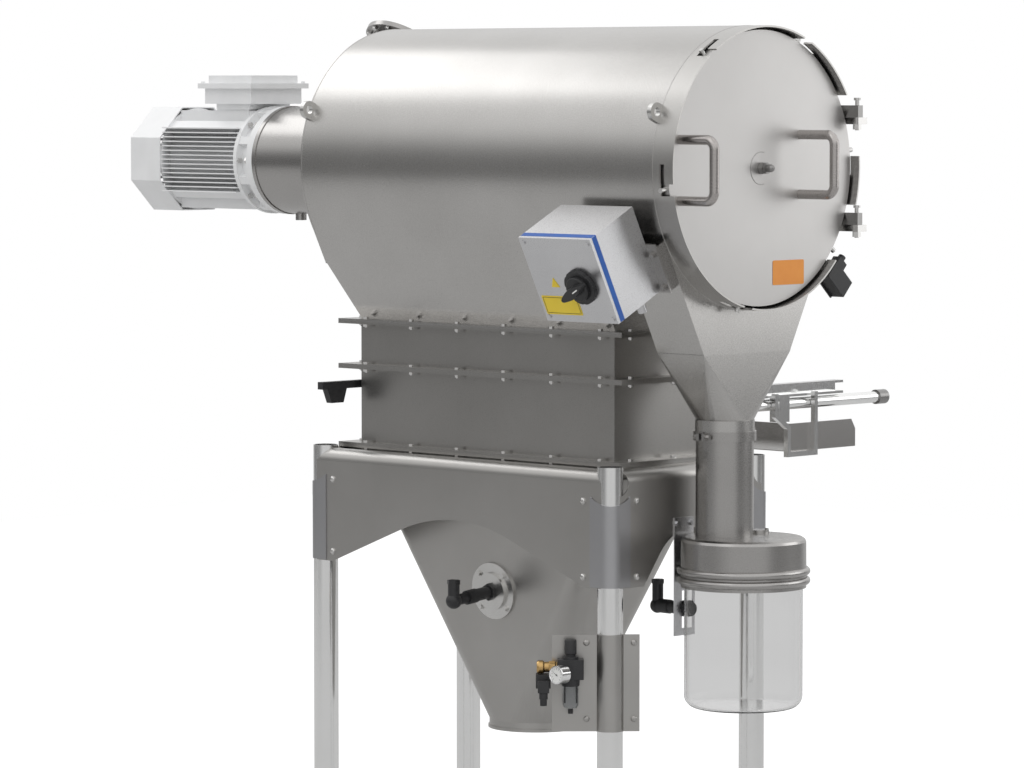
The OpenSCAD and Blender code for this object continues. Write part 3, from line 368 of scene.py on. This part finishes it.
def ring_y(radius, y, a0=0, a1=360, n=120):
    """Points about the drum's axis, from angle a0 to a1; a full circle doesn't repeat its first."""
    count = n if abs(a1 - a0) >= 360 else n + 1
    angles = [math.radians(a0 + (a1 - a0) * k / n) for k in range(count)]
    return [Vector((radius * math.cos(a), y, DRUM_Z + radius * math.sin(a))) for a in angles]


def shift(x, y, z):
    return Matrix.Translation((x, y, z))


def spin(degrees, axis="Z"):
    return Matrix.Rotation(math.radians(degrees), 4, axis)


# Door: blank orange plate, weld ring of the centre boss.
PLATE_EDGE = 0.0003
bm = bmesh.new()
slab(bm, rounded(0.110, 0.057, 0.004), 0.0009,
     frame_at((0.096, DOOR_FACE_Y, DRUM_Z - 0.2415), (1, 0, 0), (0, 0, 1)))
add_mesh("door_blank_plate", bm, "label_orange", "door", bevel=PLATE_EDGE)
bm = bmesh.new()
sweep(bm, ring_y(0.0375, DOOR_FACE_Y, a0=75, a1=285, n=48), 0.0011, steps=8)
add_mesh("door_boss_weld", bm, "steel_edge", "door")

# Seams round the drum: bead at the collar joint and at the rear plate.
SEAM_R = 0.3268
for name, y in (("collar_weld", -0.676), ("rear_plate_weld", 0.474)):
    bm = bmesh.new()
    sweep(bm, ring_y(SEAM_R, y, n=160), 0.0009, closed=True, steps=8)
    add_mesh(name, bm, "steel_edge", "machine")

# Isolator box: it stands square to the flat side of the drum. Its places are given by u out of
# that side, y along the machine and v down the side.
SIDE = math.radians(180 - 26.8)
OUT = Vector((math.cos(SIDE), 0, -math.sin(SIDE)))
DOWN = Vector((math.sin(SIDE), 0, math.cos(SIDE)))
COVER_U = 0.5130
PLATE_THICK = 0.0008


def iso(u, y, v):
    """A frame on the box's cover: x to the front of the machine, y up the side, z outward."""
    return frame_at(Vector((0, y, DRUM_Z)) + OUT * u + DOWN * v, (0, -1, 0), -DOWN)


bm = bmesh.new()
slab(bm, rounded(0.112, 0.048, 0.003), PLATE_THICK, iso(COVER_U, -0.485, 0.086))
add_mesh("isolator_blank_plate", bm, "label_yellow", "machine", bevel=PLATE_EDGE)
bm = bmesh.new()
border = iso(0.5138, -0.485, 0.086)
sweep(bm, [border @ Vector((x, y, 0)) for x, y in rounded(0.104, 0.040, 0.002)], 0.0006,
      closed=True, steps=6)
add_mesh("isolator_plate_border", bm, "black_plastic", "machine")
bm = bmesh.new()
slab(bm, [(-0.013, -0.011), (0.013, -0.011), (0.001, 0.0125), (-0.001, 0.0125)], PLATE_THICK,
     iso(COVER_U, -0.486, 0.028))
add_mesh("isolator_blank_triangle", bm, "label_yellow", "machine", bevel=PLATE_EDGE)

# Gasket between the box and its cover.
bm = bmesh.new()
hoop(bm, rounded(0.2218, 0.2158, 0.002), rounded(0.2190, 0.2130, 0.001), 0.0145,
     iso(0.4905, -0.5315, 0.0205))
add_mesh("isolator_gasket", bm, "blue_rubber", "machine", smooth=False)

# Rotary knob with a scalloped base, a collar and a waisted grip.
KNOB_STEPS, KNOB_R, SCALLOPS, SCALLOP_DEEP = 96, 0.043, 8, 0.0022
KNOB_TAPER, KNOB_THICK = 0.985, 0.0115
GRIP_STEPS, GRIP_HALF_W, GRIP_HALF_L, GRIP_WAIST = 48, 0.0125, 0.0385, 0.22
GRIP_ANGLE = -62
bm = bmesh.new()
kf = iso(0.5133, -0.569, 0.033)
edge = [KNOB_R - SCALLOP_DEEP * max(0.0, math.cos(SCALLOPS * turn(k, KNOB_STEPS))) ** 6
        for k in range(KNOB_STEPS)]


def knob_loop(taper, z):
    return [bm.verts.new(kf @ Vector((r * taper * math.cos(turn(k, KNOB_STEPS)),
                                      r * taper * math.sin(turn(k, KNOB_STEPS)), z)))
            for k, r in enumerate(edge)]


foot, brow = knob_loop(1.0, 0.0), knob_loop(KNOB_TAPER, KNOB_THICK)
band(bm, foot, brow)
bm.faces.new(foot)
bm.faces.new(brow)
lathe(bm, [(0.0, 0.0112), (0.031, 0.0112), (0.0305, 0.019), (0.028, 0.0215), (0.0, 0.0215)], kf)
grip = []
for k in range(GRIP_STEPS):
    a = turn(k, GRIP_STEPS)
    s = abs(math.sin(a)) ** 0.8 * (1 if math.sin(a) >= 0 else -1)
    grip.append((GRIP_HALF_W * math.cos(a) * (1 - GRIP_WAIST * abs(math.sin(2 * a))),
                 GRIP_HALF_L * s))
slab(bm, grip, 0.0235, kf @ shift(0, 0, 0.0200) @ spin(GRIP_ANGLE))
knob = add_mesh("rotary_knob", bm, "black_plastic", "knob", bevel=0.0009)
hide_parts("isolator_knob")
bm = bmesh.new()
slab(bm, rounded(0.003, 0.020, 0.001), 0.0006, kf @ spin(GRIP_ANGLE) @ shift(0, 0.020, 0.0436))
add_mesh("knob_pointer", bm, "dial_white", "knob")

# Air unit in the bracket's own frame: brass fitting with a solenoid, regulator with a clear bowl.
# Its heights are measured from the tops of the legs.
AIR = shift(-LEG_X, -LEG_Y, LEG_TOP) @ spin(-45)


def brick(bm, lo, hi, mtx, r=0.002):
    """A block between two corners, its upright edges rounded."""
    cx, cy = (lo[0] + hi[0]) / 2, (lo[1] + hi[1]) / 2
    slab(bm, [(cx + x, cy + y) for x, y in rounded(hi[0] - lo[0], hi[1] - lo[1], r, 3)],
         hi[2] - lo[2], mtx @ shift(0, 0, lo[2]))


# The valve: a hexagon and a round nut on a level axis, and the coil below them.
at = AIR @ shift(-0.122, -0.036, 0)
level_axis = at @ shift(0, 0, -0.458) @ spin(90, "Y")
bm = bmesh.new()
lathe(bm, [(0.0, -0.020), (0.0135, -0.020), (0.0140, -0.018), (0.0140, -0.006),
           (0.0115, -0.004), (0.0115, -0.001), (0.0, -0.001)], level_axis, 6)
lathe(bm, [(0.0, -0.048), (0.0125, -0.048), (0.0155, -0.044), (0.0155, -0.034),
           (0.0120, -0.030), (0.0120, -0.020), (0.0, -0.020)], level_axis, 40)
valve = add_mesh("valve_fitting", bm, "brass_valve", "machine", bevel=0.0006)
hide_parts("air_valve")
bm = bmesh.new()
brick(bm, (-0.050, -0.018, -0.506), (-0.016, 0.018, -0.474), at)
brick(bm, (-0.046, -0.040, -0.514), (-0.020, -0.018, -0.486), at)
lathe(bm, [(0.0, -0.514), (0.0100, -0.514), (0.0100, -0.528), (0.0080, -0.530),
           (0.0080, -0.544), (0.0, -0.544)], at @ shift(-0.033, -0.029, 0), 24)
add_mesh("valve_coil", bm, "black_plastic", "machine", bevel=0.0008)

# The regulator: knob and neck, body with a rear plate, bowl ring with four ribs, drain.
at = AIR @ shift(-0.092, -0.036, 0)
bm = bmesh.new()
lathe(bm, [(0.0, -0.395), (0.0125, -0.395), (0.0140, -0.398), (0.0140, -0.427),
           (0.0115, -0.429), (0.0115, -0.433), (0.0185, -0.434), (0.0185, -0.444),
           (0.0, -0.444)], at, 40)
brick(bm, (-0.030, -0.020, -0.486), (0.030, 0.020, -0.440), at, 0.004)
brick(bm, (-0.022, 0.018, -0.480), (0.022, 0.024, -0.440), at)
lathe(bm, [(0.0, -0.486), (0.0210, -0.486), (0.0210, -0.500), (0.0195, -0.502),
           (0.0, -0.502)], at, 40)
for k in range(4):
    brick(bm, (-0.002, -0.0005, -0.540), (0.002, 0.0012, -0.500),
          at @ spin(45 + 90 * k) @ shift(0, 0.0188, 0), 0.0004)
lathe(bm, [(0.0, -0.5545), (0.0060, -0.5545), (0.0060, -0.566), (0.0, -0.566)], at, 24)
regulator = add_mesh("regulator_body", bm, "black_plastic", "machine", bevel=0.0008)
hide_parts("air_regulator")
bm = bmesh.new()
lathe(bm, [(0.0180, -0.5025), (0.0180, -0.546), (0.0140, -0.5525), (0.0, -0.554)], at, 48)
lathe(bm, [(0.0165, -0.5025), (0.0165, -0.545), (0.0130, -0.5510), (0.0, -0.5525)], at, 48)
add_mesh("regulator_bowl", bm, "bowl_clear", "machine")

# Gauge: bezel, blank dial with ticks, needle and its hub.
TICKS, FIRST_TICK, TICK_STEP = 11, 225, 27
gf = frame_at((-0.3993, -0.4495, 0.710), (0, -1, 0), (0, 0, 1))
bm = bmesh.new()
lathe(bm, [(0.0175, 0.0), (0.0215, 0.0), (0.0215, 0.0025), (0.0205, 0.0040),
           (0.0190, 0.0042), (0.0183, 0.0030), (0.0175, 0.0010)], gf)
add_mesh("gauge_bezel", bm, "gauge_metal", "machine")
bm = bmesh.new()
lathe(bm, [(0.0, 0.0002), (0.0180, 0.0002), (0.0180, 0.0010), (0.0, 0.0010)], gf)
add_mesh("gauge_dial", bm, "dial_white", "machine")
bm = bmesh.new()
for k in range(TICKS):
    slab(bm, rounded(0.0026 if k % 5 else 0.0042, 0.0008, 0.0003, 2), 0.0002,
         gf @ spin(FIRST_TICK - TICK_STEP * k) @ shift(0.0142, 0, 0.0010))
slab(bm, [(-0.004, -0.0006), (0.0125, -0.0002), (0.0125, 0.0002), (-0.004, 0.0006)], 0.0003,
     gf @ spin(150) @ shift(0, 0, 0.0013))
lathe(bm, [(0.0, 0.0010), (0.0018, 0.0010), (0.0018, 0.0018), (0.0, 0.0018)], gf, 24)
add_mesh("gauge_marks", bm, "black_plastic", "machine", smooth=False)

# Light: a soft room, bright above, with dark walls on the picture's left and right, and three
# large panels. The camera itself sees plain white behind the machine.
LEFT_WALL = (-0.697, 0.717, 0.0)
RIGHT_WALL = (0.697, -0.717, 0.0)
WALL_LEVEL = 0.30
SKY = ((0.35, 0.55), (0.48, 0.62), (0.53, 0.70), (0.60, 0.82), (0.66, 0.95), (0.75, 1.0))
world = bpy.data.worlds.new("studio")
scene.world = world
world.use_nodes = True
wn, wl = world.node_tree.nodes, world.node_tree.links
wn.clear()


def wire(kind, values, output, **props):
    """A world node: its inputs are given by index, as a socket to link or a value."""
    nd = wn.new(kind)
    for k, v in props.items():
        setattr(nd, k, v)
    for i, v in values.items():
        if hasattr(v, "is_output"):
            wl.new(v, nd.inputs[i])
        else:
            nd.inputs[i].default_value = v
    return nd.outputs[output]


def remap(value, a, b, lo, hi, kind="LINEAR"):
    return wire("ShaderNodeMapRange", {0: value, 1: a, 2: b, 3: lo, 4: hi}, "Result",
                interpolation_type=kind)


def facing(wall):
    """How far a direction points at a wall, 1 when straight at it."""
    return wire("ShaderNodeVectorMath", {0: toward, 1: wall}, "Value", operation="DOT_PRODUCT")


toward = wire("ShaderNodeTexCoord", {}, "Generated")
sep = wn.new("ShaderNodeSeparateXYZ")
wl.new(toward, sep.inputs["Vector"])
height = remap(sep.outputs["Z"], -1.0, 1.0, 0.0, 1.0)
ramp = wn.new("ShaderNodeValToRGB")
ramp.color_ramp.elements[0].position = 0.0
ramp.color_ramp.elements[0].color = (0.55, 0.55, 0.55, 1)
ramp.color_ramp.elements[1].position = 1.0
ramp.color_ramp.elements[1].color = (1.0, 1.0, 1.0, 1)
for pos, c in SKY:
    e = ramp.color_ramp.elements.new(pos)
    e.color = (c, c, c, 1)
wl.new(height, ramp.inputs["Fac"])
left = remap(facing(LEFT_WALL), 0.35, 1.0, 0.0, 1.0, "SMOOTHSTEP")
low = remap(sep.outputs["Z"], 0.05, 0.42, 1.0, 0.0, "SMOOTHSTEP")
right = remap(facing(RIGHT_WALL), 0.55, 0.95, 0.0, 1.35, "SMOOTHSTEP")
both = wire("ShaderNodeMath", {0: left, 1: right}, "Value", operation="ADD")
dark = wire("ShaderNodeMath", {0: both, 1: low}, "Value", operation="MULTIPLY")
level = remap(dark, 0.0, 1.0, 1.0, WALL_LEVEL)
lit = wn.new("ShaderNodeBackground")
wl.new(ramp.outputs["Color"], lit.inputs["Color"])
wl.new(level, lit.inputs["Strength"])
seen = wn.new("ShaderNodeBackground")
seen.inputs["Color"].default_value = (1, 1, 1, 1)
seen.inputs["Strength"].default_value = 1.0
mix = wn.new("ShaderNodeMixShader")
wl.new(wire("ShaderNodeLightPath", {}, "Is Camera Ray"), mix.inputs["Fac"])
wl.new(lit.outputs["Background"], mix.inputs[1])
wl.new(seen.outputs["Background"], mix.inputs[2])
out = wn.new("ShaderNodeOutputWorld")
wl.new(mix.outputs["Shader"], out.inputs["Surface"])


def panel_light(name, loc, target, size, radiance):
    d = bpy.data.lights.new(name, "AREA")
    d.shape = "RECTANGLE"
    d.size, d.size_y = size
    d.energy = radiance * math.pi * size[0] * size[1]
    o = bpy.data.objects.new(name, d)
    o.location = loc
    o.rotation_euler = (Vector(target) - Vector(loc)).to_track_quat("-Z", "Y").to_euler()
    scene.collection.objects.link(o)


panel_light("rear_top_panel", (-0.6, 6.0, 7.0), (0, 0, 1.8), (5.0, 2.4), 1.5)
panel_light("right_front_panel", (2.30, -2.25, 2.02), (0.45, -0.40, 1.80), (2.0, 1.45), 1.25)
panel_light("upper_left_panel", (-2.4, -0.6, 4.2), (-0.3, -0.5, 1.9), (1.6, 1.6), 0.55)

# Floor, pale and plain.
FLOOR_HALF = 9
CORNERS = ((-1, -1), (1, -1), (1, 1), (-1, 1))
floor_mesh = bpy.data.meshes.new("floor")
floor_mesh.from_pydata([(FLOOR_HALF * x, FLOOR_HALF * y, 0) for x, y in CORNERS], [],
                       [(0, 1, 2, 3)])
floor = bpy.data.objects.new("floor", floor_mesh)
scene.collection.objects.link(floor)
paint, n, l, p = shader("floor_paint")
p.inputs["Roughness"].default_value = 0.95
p.inputs["Specular IOR Level"].default_value = 0.1
p.inputs["Emission Color"].default_value = (1, 1, 1, 1)
l.new(tint(n, l, noise(n, l, coords(n, l, PLAIN), 0.6, 2.0), (0.55, 0.55, 0.55),
           (0.57, 0.57, 0.57)), p.inputs["Base Color"])
seen_straight = n.new("ShaderNodeLightPath").outputs["Is Camera Ray"]
l.new(spread(n, l, seen_straight, 0.0, 0.6, 0.0, 1.0), p.inputs["Emission Strength"])
floor_mesh.materials.append(paint)
